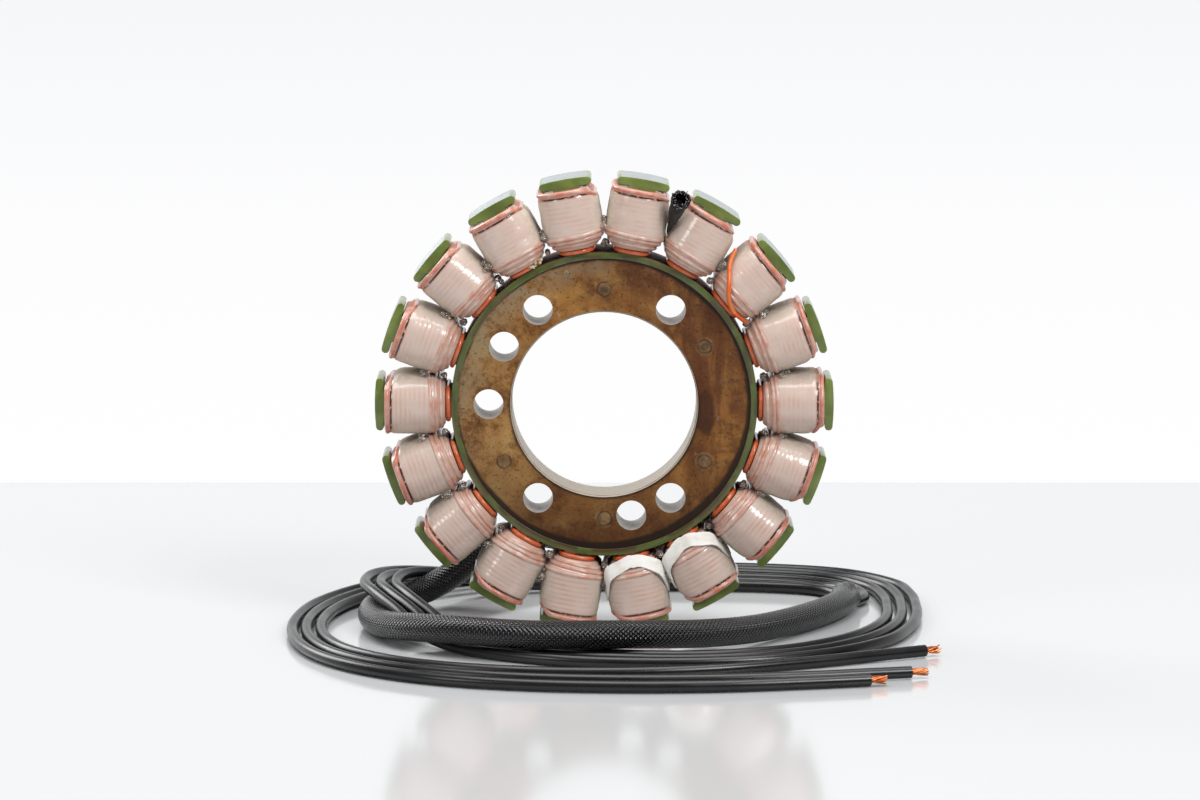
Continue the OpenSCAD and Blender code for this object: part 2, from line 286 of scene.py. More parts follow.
def planeOf(tree):
    # places in the stator's plane, in metres about its axis
    parts = addNode(tree, "SeparateXYZ", {"Vector": placeOf(tree)}).outputs
    up = maths("SUBTRACT", parts["Z"], axisHeight * mm)
    flat = addNode(tree, "CombineXYZ", {"X": parts["X"], "Y": up}).outputs[0]
    radius = addNode(tree, "VectorMath", {0: flat}, operation="LENGTH").outputs["Value"]
    return dict(right=parts["X"], back=parts["Y"], up=up, flat=flat, radius=radius)


def windingMaterial():
    # enamelled copper wire under clear brushed varnish: cream where the varnish is thick, pink over the turns
    material, tree, shader = newMaterial(
        "varnishedCopperWinding", {"Coat Roughness": 0.1, "Specular IOR Level": 0.35})
    around, along = uvOf(tree, "turns")  # once per turn, and mm along the tooth
    patch = noiseOf(tree, 260.0, 3.0)
    fine = noiseOf(tree, 900.0, 2.0)
    # one stripe for each turn of wire
    stripe = maths("SINE", scaled(patch, 2.6, times(along, fullTurn / wireWidth)))
    half = scaled(stripe, 0.5, 0.5)
    # pink in the middle of each end of the coil, cream round its sides
    middle = maths("COSINE", times(around, 2 * fullTurn))
    spread = span(middle, -0.2, 0.85)
    amount = times(times(half, spread), span(patch, 0.36, 0.68, 0.6))
    cream = ramp(fine, (0.25, "#BFB1A2"), (0.75, "#D4C9BB"))
    pink = over(amount, over(spread, cream, "#CFB8AC"), "#C7957F")
    # the first few turns near the hub show more copper
    hubPink = over(span(along, 41.2, 38.5, 0.5), pink, "#C48F7A")
    # painted shade: where the sides meet the next coil, they are turned brown
    slot = span(middle, -0.45, -0.98, 0.7)
    slotShadeReach = span(along, 47.5, 42.0, 1.0, 0.25)
    shaded = over(times(slot, slotShadeReach), hubPink, "#5F4636")
    # copper shows in the last two turns, with painted shade in a short broken dark gap between them in the middle
    # of each end
    gapAt = 49.62
    coppery = over(span(along, 48.9, 49.5, 0.75), shaded, "#BE7C66")
    thin = span(maths("ABSOLUTE", maths("SUBTRACT", along, gapAt)), 0.3, 0.18)
    short = span(middle, -0.1, 0.35)
    torn = span(fine, 0.34, 0.43)
    setSockets(shader, {
        "Base Color": over(times(times(thin, short), torn), coppery, "#35160F"),
        "Coat Weight": span(middle, -0.7, 0.1),
        "Specular IOR Level": span(middle, -0.7, 0.1, 0.5, 0.08),
        "Roughness": span(middle, -0.7, 0.1, 0.36, 0.65),
        "Normal": bumped(scaled(fine, 0.5, half), 0.25, 0.00006)})
    return material


def copperTurnMaterial(name, bright, dull, share):
    # a single enamelled turn that shows its copper colour through the varnish, glossy and a little streaked
    material, tree, shader = newMaterial(name, {"Roughness": 0.28, "Coat Weight": 0.5, "Coat Roughness": 0.08})
    streak = noiseOf(tree, 420.0, 3.0)
    setSockets(shader, {
        "Base Color": ramp(streak, (share - 0.12, bright), (share + 0.14, dull)),
        "Normal": bumped(streak, 0.15, 0.0001)})
    return material


def epoxyMaterial():
    # olive green epoxy powder fused onto the steel: smooth, glossy, slightly uneven, with varnish stains
    material, tree, shader = newMaterial("greenFusedEpoxy", {"Coat Roughness": 0.07})
    plane = planeOf(tree)
    up, radius = plane["up"], plane["radius"]
    tone = noiseOf(tree, 180.0, 4.0)
    pits = noiseOf(tree, 1400.0, 2.0)
    green = ramp(tone, (0.3, "#56672B"), (0.5, "#697A36"), (0.72, "#80914A"))
    # varnish stain on the hub margin, which lies inside 36 mm, darker low down
    ringGreen = over(span(radius, 0.0361, 0.0357, 0.45), green, "#454A20")
    stain = times(span(radius, 0.0357, 0.0346), span(tone, 0.4, 0.5))
    dark = scaled(span(up, 0.01, -0.03), 0.2, 0.8)
    stained = over(times(stain, dark), ringGreen, "#4A3A1C")
    # painted shade: the ring's outer edge between the coils is dull and painted dark, with reddish brown streaks
    # for wires seen behind
    bottom = times(maths("GREATER_THAN", radius, 0.03565), maths("LESS_THAN", radius, 0.0392))
    slotShadeAndWires = ramp(tone, (0.4, "#3A1A10"), (0.54, "#8C4836"), (0.62, "#3A1C12"))
    setSockets(shader, {
        "Base Color": over(bottom, stained, slotShadeAndWires),
        "Roughness": span(bottom, 0.0, 1.0, 0.75, 0.34),
        "Coat Weight": span(bottom, 0.0, 1.0, 0.0, 0.6),
        "Normal": bumped(tone, 0.3, 0.0003, bumped(pits, 0.12, 0.0001))})
    return material


rivets = dict(circle=27.0, angles=(90, 30, -30, -90, -150))


def fromRivets(flat):
    # distance to the nearest rivet's middle
    nearest = None
    for angle in rivets["angles"]:
        turn, reach = math.radians(angle), rivets["circle"] * mm
        away = distanceTo((reach * math.cos(turn), reach * math.sin(turn), 0), flat)
        nearest = away if nearest is None else maths("MINIMUM", nearest, away)
    return nearest


def stackMaterial():
    # electrical steel sheets: varnish-stained brown faces, tan bore and holes, pole faces ground bright
    material, tree, shader = newMaterial("varnishedElectricalSteel", {
        "Coat Weight": 0.1, "Coat Roughness": 0.12, "Specular IOR Level": 0.3})
    right, back, up, flat, radius = planeOf(tree).values()
    cloud = noiseOf(tree, 75.0, 6.0, 0.62, 0.6)
    wear = noiseOf(tree, 210.0, 7.0, 0.7)
    fleck = noiseOf(tree, 520.0, 4.0, 0.6)
    grit = noiseOf(tree, 1600.0, 2.0)
    slanted = addNode(tree, "Mapping", {
        "Vector": placeOf(tree), "Rotation": (0, 0.75, 0), "Scale": (1, 1, 0.22)}).outputs[0]
    grain = noiseOf(tree, 170.0, 5.0, 0.6, 1.4, slanted)
    upperLeft = times(span(maths("SUBTRACT", up, right), 0.012, 0.04), span(radius, 0.0275, 0.0325))
    upperRight = times(span(scaled(up, 0.7, right), 0.008, 0.026, 0.75), span(up, -0.009, 0.004))
    squeezed = addNode(tree, "Mapping", {"Vector": flat, "Scale": (1.7, 0.8, 1)}).outputs[0]
    blot = scaled(cloud, 0.006, distanceTo((0.0402, -0.0018, 0), squeezed))
    # the radius, made to seem larger to the right and low down, where the line at the margin is broader
    rightward = scaled(span(right, -0.03, 0.02), 0.0009, radius)
    sunk = scaled(span(up, 0.0, -0.03), 0.0011, scaled(cloud, 0.0022, rightward))
    away = fromRivets(flat)
    # brown varnish on the faces, and what lies over it, from the lowest layer up
    face = ramp(cloud, (0.3, "#553012"), (0.42, "#7B4D1F"), (0.5, "#91602B"), (0.58, "#A17037"), (0.7, "#B58C4F"))
    for share, code in (
            (times(span(grain, 0.47, 0.66, 0.7), span(right, -0.004, 0.02)), "#54290F"),  # slanted runs
            (times(span(wear, 0.55, 0.63, 0.6), span(up, -0.005, 0.02)), "#95702F"),  # gold above
            (times(upperLeft, span(wear, 0.4, 0.56, 0.9)), "#857660"),  # worn grey
            (times(span(fleck, 0.66, 0.72, 0.7), span(up, -0.02, 0.02, 1.0, 0.2)), "#A59C8C"),  # chips
            (times(span(right, -0.012, -0.028, 0.55), span(wear, 0.35, 0.6)), "#A58A5E"),  # paler left side
            (times(upperRight, span(grain, 0.36, 0.56, 1.0, 0.45)), "#5A2F18"),  # redder upper right
            (span(blot, 0.0076, 0.0062, 0.75), "#3A1A0C"),  # dark patch beside the bore
            (span(wear, 0.5, 0.36, 0.6), "#40240F"),  # mottling
            (span(grit, 0.6, 0.68, 0.6), "#2B170B"),  # specks
            (span(up, -0.008, -0.033, 0.74), "#341708"),  # darker towards the bottom
            (span(sunk, 0.0350, 0.0356, 0.92), "#20140B"),  # line against the green margin
            (times(span(radius, 0.0227, 0.0221), span(up, 0.012, -0.008, 0.9)), "#1C120A"),  # foot of the bore
            (times(span(away, 0.0024, 0.0020), span(wear, 0.45, 0.6, 0.4)), "#8F7A5C"),  # rubbed round rivets
            (times(span(away, 0.0019, 0.0017, 0.75), span(fleck, 0.42, 0.55, 1.0, 0.3)), "#2A190C")):  # joints
        face = over(share, face, code)
    # sheet edges, 0.5 mm apart, in the bore, the holes and the ground pole faces
    sheet = 0.0005
    smear = scaled(wear, 2.4, maths("SINE", times(back, fullTurn / sheet)))
    tan = ramp(smear, (0.2, "#74685A"), (0.6, "#968978"), (1.0, "#B0A392"))
    pitted = over(times(span(grit, 0.6, 0.66, 0.85), span(radius, 0.0222, 0.0226)), tan, "#2A221B")
    ground = ramp(smear, (0.1, "#7D8385"), (0.6, "#A2A8AA"), (1.0, "#C2C8C9"))
    onFace = maths("GREATER_THAN", maths("ABSOLUTE", back), 0.00695)
    onPole = maths("GREATER_THAN", radius, 0.0505)
    setSockets(shader, {
        "Base Color": over(onPole, over(onFace, pitted, face), ground),
        "Metallic": span(onPole, 0.0, 1.0, 0.55, 0.1),
        "Roughness": span(wear, 0.3, 0.7, 0.5, 0.3),
        "Normal": bumped(scaled(grit, 0.3, cloud), 0.3, 0.0003)})
    return material


def rivetMaterial():
    # soft steel rivets ground flush and stained by the same varnish, with a rubbed ring near the edge
    material, tree, shader = newMaterial("stainedRivetSteel", {
        "Roughness": 0.42, "Metallic": 0.2, "Coat Weight": 0.3, "Coat Roughness": 0.16})
    stained = ramp(noiseOf(tree, 500.0, 4.0), (0.35, "#4E3418"), (0.52, "#6D4C26"), (0.68, "#8A6E48"))
    ring = ramp(span(fromRivets(planeOf(tree)["flat"]), 0.0, 0.0016), (0.0, "#000000"), (0.5, "#101010"),
                (0.7, "#606060"), (0.84, "#181818"), (1.0, "#000000"))
    setSockets(shader, {"Base Color": over(ring, stained, "#B09A78")})
    return material


def braidMaterial():
    # varnished nylon braid: black filaments crossing at a slant, each crossing catching a small glint from its
    # bump, with a painted highlight on its top
    material, tree, shader = newMaterial("blackNylonBraid", {"Roughness": 0.17, "Specular IOR Level": 0.5})
    along, around = uvOf(tree, "braid")
    # about 1 mm between crossings in both directions, as the photograph shows
    crossing, crossingsRound = 1.1, 19
    lengthwise = times(along, fullTurn / crossing)
    crosswise = times(around, fullTurn * crossingsRound)
    waves = [maths("SINE", maths(way, lengthwise, crosswise)) for way in ("ADD", "SUBTRACT")]
    height = scaled(maths("ADD", *waves), 0.25, 0.5)
    setSockets(shader, {
        # painted highlight: the tops of the crossings are painted light grey
        "Base Color": ramp(height, (0.3, "#010102"), (0.7, "#060607"), (0.88, "#18181A"), (1.0, "#66666B")),
        "Normal": bumped(height, 1.0, 0.00022)})
    return material


def leadMaterial():
    # extruded lead insulation: soft black, faint gloss, slight haze from handling
    material, tree, shader = newMaterial("blackLeadInsulation", {"Specular IOR Level": 0.55})
    haze = noiseOf(tree, 120.0, 4.0)
    setSockets(shader, {
        "Base Color": ramp(haze, (0.3, "#060608"), (0.7, "#0F0F12")),
        "Roughness": span(haze, 0.3, 0.7, 0.34, 0.25)})
    return material


def lacingMaterial():
    # white polyester lacing tape: fine cross threads, matt, with faint varnish stains
    material, tree, shader = newMaterial("whiteLacingTape", {"Roughness": 0.72})
    along, across = uvOf(tree, "weave")
    warpThread, weftThread = 0.35, 0.5  # mm
    warp = maths("SINE", times(across, fullTurn / warpThread))
    weft = maths("SINE", times(along, fullTurn / weftThread))
    height = span(maths("ADD", warp, weft), -2.0, 2.0)
    base = ramp(noiseOf(tree, 220.0, 4.0), (0.28, "#DAD4C8"), (0.45, "#EFEDE7"), (0.7, "#F8F7F4"))
    setSockets(shader, {
        "Base Color": over(times(height, 0.25), base, "#B9B4A8"),
        "Normal": bumped(height, 0.5, 0.00012)})
    return material


def mottledMaterial(name, values, scale, detail, *stops):
    material, tree, shader = newMaterial(name, values)
    setSockets(shader, {"Base Color": ramp(noiseOf(tree, scale, detail), *stops)})
    return material


windingSkin = windingMaterial()
outerTurnSkin = copperTurnMaterial("outerCopperTurn", "#C4715A", "#CC9C8B", 0.5)
softTurnSkin = copperTurnMaterial("varnishedCopperTurn", "#C38D79", "#CDB2A4", 0.48)
hubTurnSkin = copperTurnMaterial("innerCopperTurn", "#CC5A2A", "#C9714C", 0.55)
jumperSkin = copperTurnMaterial("orangeEnamelWire", "#D65A14", "#E37B32", 0.55)
crossoverSkin = copperTurnMaterial("redBrownEnamelWire", "#7C3526", "#A65A43", 0.5)
# the star joint's copper, painted near black as painted shade inside the star sleeve
shadedJointSkin = copperTurnMaterial("shadedTwistedJoint", "#1E1512", "#372822", 0.5)
epoxySkin = epoxyMaterial()
stackSkin = stackMaterial()
rivetSkin = rivetMaterial()
braidSkin = braidMaterial()
leadSkin = leadMaterial()
lacingSkin = lacingMaterial()
# loose nylon threads that have lost their varnish: grey, half matt
threadSkin = newMaterial("greyFrayedThread", {"Base Color": "#8C8C90", "Roughness": 0.45})[0]
# bare drawn copper strands, bright with pink and pale tips
strandSkin = mottledMaterial("bareCopperStrand", {"Roughness": 0.3, "Metallic": 0.9}, 900.0, 2.0,
                             (0.3, "#C96A36"), (0.55, "#E58A56"), (0.75, "#F6C9A0"))
# clear insulating varnish that has run together in the slots: thin pale glass
varnishSkin = mottledMaterial("clearVarnishBead", {"Roughness": 0.03, "Transmission Weight": 0.9, "IOR": 1.55},
                              300.0, 2.0, (0.3, "#E4D6C8"), (0.7, "#FBF7F3"))
# dry cream resin that has crumbled at the foot of one coil
crumbSkin = mottledMaterial("creamResinCrumb", {"Roughness": 0.7}, 1200.0, 3.0,
                            (0.3, "#A9946C"), (0.7, "#E2D6BC"))
print("materials made")


# cords: the harness sleeve, the three leads and their stripped ends, as the solids lay them
harness = dict(
    sleeve=dict(width=6.5, wall=0.6, sides=40, frayLength=3.0, fray=0.45, seed=4), sleeveSteps=8,
    leadWidth=2.7, leadSteps=6,
    strands=dict(count=15, width=0.34, ring=0.72, twist=1.5, reach=(3.3, 4.5), flare=(0.0, 0.7), tucked=0.4),
    bundleRadius=36.0, bundleDepth=13.552, bundleAngles=(-47, -61, -75, -89, -102),
    sleeveLay=[
        (-17, 17, 19), (-25, 19, 16.5), (-31.5, 21.3, 12), (-38, 22.5, 7), (-44.5, 20.5, 4),
        (-50.8, 13.5, 3.36), (-54.3, 3, 3.3), (-54, -10, 3.3), (-50, -23, 4), (-42.5, -34, 5.4),
        (-31.5, -42.5, 6.2), (-17.5, -47.3, 6.2), (-3, -47.5, 6.2), (10.5, -44, 5.6), (23.5, -36, 4.4),
        (35, -25, 3.5), (44.8, -12.5, 3.3), (51.8, -0.5, 3.3), (56, 10, 3.3), (57.8, 19.5, 3.3)],
    leads=dict(
        a=[(56.6, 20.3, 1.7), (57.2, 30.5, 1.4), (51, 39.3, 1.4), (39.5, 43.5, 1.4), (24, 45.3, 1.4),
           (6, 46, 1.4), (-12, 44.5, 1.6), (-28, 38, 3.6), (-40, 29, 7.4), (-47.3, 18.5, 8.9),
           (-49.3, 7.5, 8.5), (-46.5, -4, 8), (-41, -14.5, 5.8), (-34.8, -24.5, 2.8), (-27, -33, 1.4),
           (-16.5, -40, 1.4), (-4, -45, 1.4), (12, -48.5, 1.4), (28, -47, 1.4), (43, -40, 1.4), (55, -28, 1.4),
           (62.5, -14, 1.4), (66.3, 0, 1.4), (67.3, 14, 1.4), (67.2, 28, 1.4), (64.2, 43, 1.4),
           (53.3, 56.5, 1.4), (31, 63, 1.4), (6, 63.8, 1.4), (-15, 61, 1.4), (-34, 53.5, 1.4),
           (-50.5, 39.5, 1.4), (-61.5, 20, 1.4), (-66, -1, 1.4), (-65, -22, 1.4), (-59, -40, 1.4),
           (-48, -54, 1.4), (-33, -63, 1.4), (-14, -68, 1.4), (6, -68.5, 1.4), (26, -64.5, 1.4),
           (46, -56, 1.4), (61, -48, 1.4), (73.2, -41.5, 1.4)],
        b=[(57.9, 19.9, 4.4), (59.9, 30.2, 3.1), (54.6, 41.6, 1.4), (42.3, 48.4, 1.4), (25, 51, 1.4),
           (6, 52, 1.4), (-14, 50, 1.8), (-31, 43, 3.6), (-44, 32, 6.4), (-51, 20.5, 8.2), (-53, 8.5, 8.4),
           (-50.2, -4, 8.2), (-44.6, -15.5, 6.2), (-38.3, -26.5, 2.8), (-30.7, -35.7, 1.4), (-20.5, -43, 1.4),
           (-8, -48.7, 1.4), (6, -52, 1.4), (20, -52.7, 1.4), (36, -49, 1.4), (50.5, -40, 1.4),
           (61.5, -26, 1.4), (67.5, -11.5, 1.4), (70, 2, 1.4), (70.8, 16, 1.4), (70.5, 30.5, 1.4),
           (67.4, 45.3, 1.4), (55.3, 60, 1.4), (32, 66.8, 1.4), (6, 67.6, 1.4), (-16, 65, 1.4), (-36, 57, 1.4),
           (-53.5, 42, 1.4), (-64.8, 21, 1.4), (-69.3, -1, 1.4), (-68.5, -23, 1.4), (-62.5, -43, 1.4),
           (-51, -59, 1.4), (-35, -69.5, 1.4), (-15, -75.5, 1.4), (6, -77.5, 1.4), (27, -76.5, 1.4),
           (45, -73.5, 1.4), (58, -70.3, 1.4), (68.6, -67.7, 1.4)],
        c=[(59.3, 19.8, 1.7), (62.6, 29.2, 1.4), (59.2, 42.6, 1.4), (46, 53, 1.4), (26.5, 56.8, 1.4),
           (6, 57.8, 1.4), (-15, 56, 1.8), (-33, 48.2, 3.8), (-47, 36, 6.6), (-54.5, 22.7, 8.2),
           (-56.7, 9.5, 8.4), (-53.8, -4, 8.2), (-48.1, -16.5, 6.2), (-41.8, -27.5, 2.8), (-34.2, -37.2, 1.4),
           (-24.5, -45.8, 1.4), (-12, -52.5, 1.4), (3, -56.2, 1.4), (20, -56.6, 1.4), (38, -52.8, 1.4),
           (54, -43, 1.4), (65.5, -28.5, 1.4), (71, -13, 1.4), (73.6, 2, 1.4), (74.3, 17, 1.4),
           (73.9, 32, 1.4), (70.6, 47.6, 1.4), (57.4, 63.4, 1.4), (33, 70.6, 1.4), (6, 71.4, 1.4),
           (-17, 69, 1.4), (-38, 60.5, 1.4), (-56.5, 44.5, 1.4), (-68, 22.5, 1.4), (-72.5, -1, 1.4),
           (-71.8, -24, 1.4), (-65.7, -46, 1.4), (-54, -63.5, 1.4), (-37, -76, 1.4), (-16, -82.8, 1.4),
           (6, -85, 1.4), (26, -84, 1.4), (43, -80.8, 1.4), (59, -77, 1.4)]))


def braidedTube(name, line, kind):
    # a grid rolled up round the line, then given its wall, with a ragged mouth at its far end
    rng = random.Random(kind["seed"])
    sides, fray, last = kind["sides"], kind["fray"], len(line) - 1
    obj = startFrom(name, bpy.ops.mesh.primitive_grid_add, x_subdivisions=last, y_subdivisions=sides, size=1)
    total, walked = routeLength(line) / mm, [0.0]
    for a, b in zip(line, line[1:]):
        walked.append(walked[-1] + (b - a).length / mm)
    ragged = [rng.uniform(-1, 1) for k in range(sides)]
    station = {}
    for vertex in obj.data.vertices:
        i = round((vertex.co.x + 0.5) * last)
        j = round((vertex.co.y + 0.5) * sides)
        station[vertex.index] = (walked[i], j / sides)
        heading = (line[min(i + 1, last)] - line[max(i - 1, 0)]).normalized()
        side, above = sidesOf(heading)
        angle = fullTurn * j / sides
        out = side * math.cos(angle) + above * math.sin(angle)
        nearMouth = ease(walked[i], total - kind["frayLength"], total)
        reach = kind["width"] / 2 - kind["wall"] / 2 + fray * nearMouth * (0.6 + 0.5 * ragged[j % sides])
        pulled = fray * 0.9 * nearMouth ** 3 * ragged[(j * 7) % sides]
        vertex.co = line[i] + out * reach * mm + heading * pulled * mm
    mapPlaces(obj, "braid", station)
    closeAndThicken(obj, kind["wall"])
    bpy.ops.object.shade_smooth()
    dress(obj, braidSkin)
    return obj


bundle = [onCircle(a, harness["bundleRadius"], -harness["bundleDepth"]) for a in harness["bundleAngles"]]
sleeveLine = smoothRoute(bundle + [Vector(p) * mm for p in harness["sleeveLay"]], harness["sleeveSteps"])
sleeve = braidedTube("harnessSleeve", sleeveLine, harness["sleeve"])
place(sleeve, "braided_sleeve", "harness_sleeve")


def strandBundle(name, end, heading, seed):
    # bare strands that leave the insulation side by side and splay a little
    rng = random.Random(seed)
    kind, steps = harness["strands"], 8
    side, above = sidesOf(heading)
    strands = []
    for k in range(kind["count"]):
        angle = 2.4 * k  # the golden angle spreads them evenly over the bundle
        ring = kind["ring"] * math.sqrt((k + 0.5) / kind["count"])
        reach = rng.uniform(*kind["reach"])
        flare = rng.uniform(*kind["flare"])
        line = []
        for t in (n / steps for n in range(steps + 1)):
            turn = angle + kind["twist"] * t
            out = (side * math.cos(turn) + above * math.sin(turn)) * ring * (1 + flare * t * t)
            line.append(end + heading * (t * reach - kind["tucked"]) * mm + out * mm)
        strands.append(wireMesh(name, line, kind["width"], strandSkin, rounds=1))
    return joinAs(name, strands)


leadPieces = {}
for key, points in harness["leads"].items():
    line = smoothRoute([Vector(p) * mm for p in points], harness["leadSteps"])
    lead = wireCurve("lead" + key.upper(), line, harness["leadWidth"], leadSkin, rounds=5)
    place(lead, "lead_insulation", "lead_" + key)
    heading = (line[-1] - line[-3]).normalized()
    strands = strandBundle("strands" + key.upper(), line[-1], heading, seed=ord(key) + 1)
    place(strands, "bare_copper", "strands_" + key)
    leadPieces[key] = (lead, strands, line)
print("cords laid")


# coils, in mm along the tooth; a zone is where something begins and where it is full
coil = dict(
    ringPoints=80, turnPoints=72, endStart=5.18, roundShare=0.175, toothHalf=3.14, squareness=2.2, topTurn=50.81,
    width=[(36.9, 4.5), (37.3, 4.95), (38.0, 5.5), (38.75, 6.05), (39.85, 6.75), (40.9, 6.98), (44, 7.06),
           (48.6, 7.04), (49.2, 6.98), (49.62, 6.8), (50.1, 6.86), (50.9, 6.8), (51.15, 6.5)],
    bodyFrom=37.05, bodyTo=51.15, levels=72, tucked=0.55, ridge=0.05, hubRidge=0.2, flow=0.09,
    slantZone=(41.6, 39.4), hubRidgeZone=(41.4, 40.4), slipZone=(46.6, 51.4),
    outerTurn=dict(at=50.55, half=6.62, swell=0.28, swellZone=(50.4, 49.2), width=1.08),
    hubTurns=(38.15, 39.3, 40.45), footTurn=dict(at=36.45, half=3.75, wave=0.08))


def wrapped(u):
    return (u + 0.5) % 1.0 - 0.5


def ringPlace(u, half):
    # a point on a turn: u = 0 in the middle of the front, 0.5 at the back; gives (across, depth)
    u = wrapped(u)
    front = abs(u) <= 0.25
    v = abs(u) if front else 0.5 - abs(u)
    side = 1 if u >= 0 else -1
    if v <= coil["roundShare"]:
        angle = v / coil["roundShare"] * math.pi / 2
        power = 2 / coil["squareness"]
        across = half * math.sin(angle) ** power
        depth = coil["endStart"] + half * math.cos(angle) ** power
    else:
        across = half
        depth = coil["endStart"] * (0.25 - v) / (0.25 - coil["roundShare"])
    return side * across, depth if front else -depth


def clockwise(u, rise, fall):
    # 1 on the coil's clockwise side, where u lies between -0.5 and 0, and 0 on the other
    return ease(-wrapped(u), *rise) * ease(-wrapped(u), *fall)


def shoulder(along, u, kind):
    # every coil's outermost turns slip down on its clockwise side, which rounds that corner
    return kind["slip"] * ease(along, *coil["slipZone"]) ** 1.5 * clockwise(u, (0.05, 0.17), (0.45, 0.33))


def bodyHalf(along, u, kind):
    # half width of the varnished winding at a place along the tooth
    slope = kind["slant"] * math.sin(fullTurn * (u + kind["slantAt"])) * ease(along, *coil["slantZone"])
    turnAt = ((coil["topTurn"] - along + slope) / wireWidth) % 1.0
    crest = math.sqrt(max(0.0, 1 - (2 * abs(turnAt - 0.5)) ** 2 * 0.96)) - 0.75
    ridge = coil["ridge"] + (coil["hubRidge"] - coil["ridge"]) * ease(along, *coil["hubRidgeZone"])
    turn = fullTurn * u
    flow = noise.noise(Vector((math.cos(turn) * 2.2, math.sin(turn) * 2.2, along * 0.45 + kind["seed"])))
    return between(along, coil["width"]) + ridge * crest + coil["flow"] * flow - shoulder(along, u, kind)


def coilBody(name, angle, kind):
    # an open cylinder cut into levels and wrapped round the tooth, with its ends bridged along the tooth
    levels = coil["levels"]
    obj = startFrom(name, bpy.ops.mesh.primitive_cylinder_add, vertices=coil["ringPoints"], radius=1, depth=2,
                    end_fill_type="NOTHING", location=(0, 0, 0))
    bpy.context.tool_settings.mesh_select_mode = (False, True, False)
    for part in (*obj.data.vertices, *obj.data.polygons):
        part.select = False
    for edge in obj.data.edges:  # only the edges along the tooth are cut
        ends = [obj.data.vertices[k].co.z for k in edge.vertices]
        edge.select = abs(ends[0] - ends[1]) > 1
    bpy.ops.object.mode_set(mode="EDIT")
    bpy.ops.mesh.subdivide(number_cuts=levels - 2)
    bpy.ops.object.mode_set(mode="OBJECT")
    station = {}
    for vertex in obj.data.vertices:
        level = round((vertex.co.z + 1) / 2 * (levels - 1))
        u = math.atan2(vertex.co.y, vertex.co.x) / fullTurn
        inside = min(level, levels - 1 - level)
        along = coil["bodyFrom"] + (coil["bodyTo"] - coil["bodyFrom"]) * max(0, level - 2) / (levels - 5)
        along = min(along, coil["bodyTo"])
        half = bodyHalf(along, u, kind)
        if inside == 0:
            half = coil["toothHalf"]
        elif inside == 1:
            half = half - coil["tucked"]
        station[vertex.index] = (u, along if inside > 1 else along + (0.3 if level > 3 else 0))
        vertex.co = atPole(angle, along, *ringPlace(u, half))
    uvMap = obj.data.uv_layers.new(name="turns")
    for face in obj.data.polygons:
        furthest = max(station[v][0] for v in face.vertices)
        for corner, v in zip(face.loop_indices, face.vertices):
            u, along = station[v]
            uvMap.data[corner].uv = (u + 1 if furthest - u > 0.5 else u, along)
    bpy.ops.object.mode_set(mode="EDIT")
    bpy.ops.mesh.select_all(action="DESELECT")
    bpy.ops.mesh.select_non_manifold(
        use_wire=False, use_multi_face=False, use_non_contiguous=False, use_verts=False)
    bpy.ops.mesh.bridge_edge_loops()
    bpy.ops.mesh.select_all(action="SELECT")
    bpy.ops.mesh.normals_make_consistent(inside=False)
    bpy.ops.object.mode_set(mode="OBJECT")
    bpy.ops.object.shade_smooth()
    dress(obj, windingSkin)
    return obj


def looseTurn(name, angle, at, half, width, skin):
    # one turn of wire that lies on the winding, at(u) mm along the tooth
    line = []
    for u in (k / coil["turnPoints"] for k in range(coil["turnPoints"])):
        along = at(u)
        line.append(atPole(angle, along, *ringPlace(u, half(along, u))))
    return wireMesh(name, line, width, skin, closed=True)


def makeCoil(index):
    angle = (index - 1) * poleStep
    rng = random.Random(40 + index)
    kind = dict(seed=index * 7.3, slant=rng.uniform(0.25, 0.6), slantAt=rng.random(), slip=rng.uniform(1.3, 2.3))
    sink = rng.uniform(0.9, 1.9)
    wave = rng.uniform(0.1, 0.25) * 0.4
    leanSide = 1 if rng.random() < 0.5 else -1
    name = "coilWinding%02d" % index
    outer, foot = coil["outerTurn"], coil["footTurn"]

    def outerAt(u):
        slipped = sink * clockwise(u, (0.02, 0.17), (0.46, 0.32))
        return outer["at"] - slipped + wave * math.sin(fullTurn * (u + kind["slantAt"]))

    def outerHalf(along, u):
        return outer["half"] + outer["swell"] * ease(along, *outer["swellZone"]) - shoulder(along, u, kind)

    pieces = [coilBody(name, angle, kind),
              looseTurn(name, angle, outerAt, outerHalf, outer["width"], outerTurnSkin)]
    for base in coil["hubTurns"]:
        lean = rng.uniform(0.35, 1.1) * leanSide * 0.6
        turnAt = rng.uniform(-0.1, 0.1)
        lift = rng.uniform(-0.34, -0.16)
        pieces.append(looseTurn(
            name, angle, lambda u: base + lean * math.sin(fullTurn * (u - turnAt)),
            lambda along, u: between(along, coil["width"]) + lift, wireWidth, softTurnSkin))
    pieces.append(looseTurn(
        name, angle, lambda u: foot["at"] + foot["wave"] * math.sin(fullTurn * u + index),
        lambda along, u: foot["half"], wireWidth, hubTurnSkin))
    place(joinAs(name, pieces), "varnished_copper", "coil_%02d" % index)


for index in range(1, poleCount + 1):
    makeCoil(index)
print("coils wound")


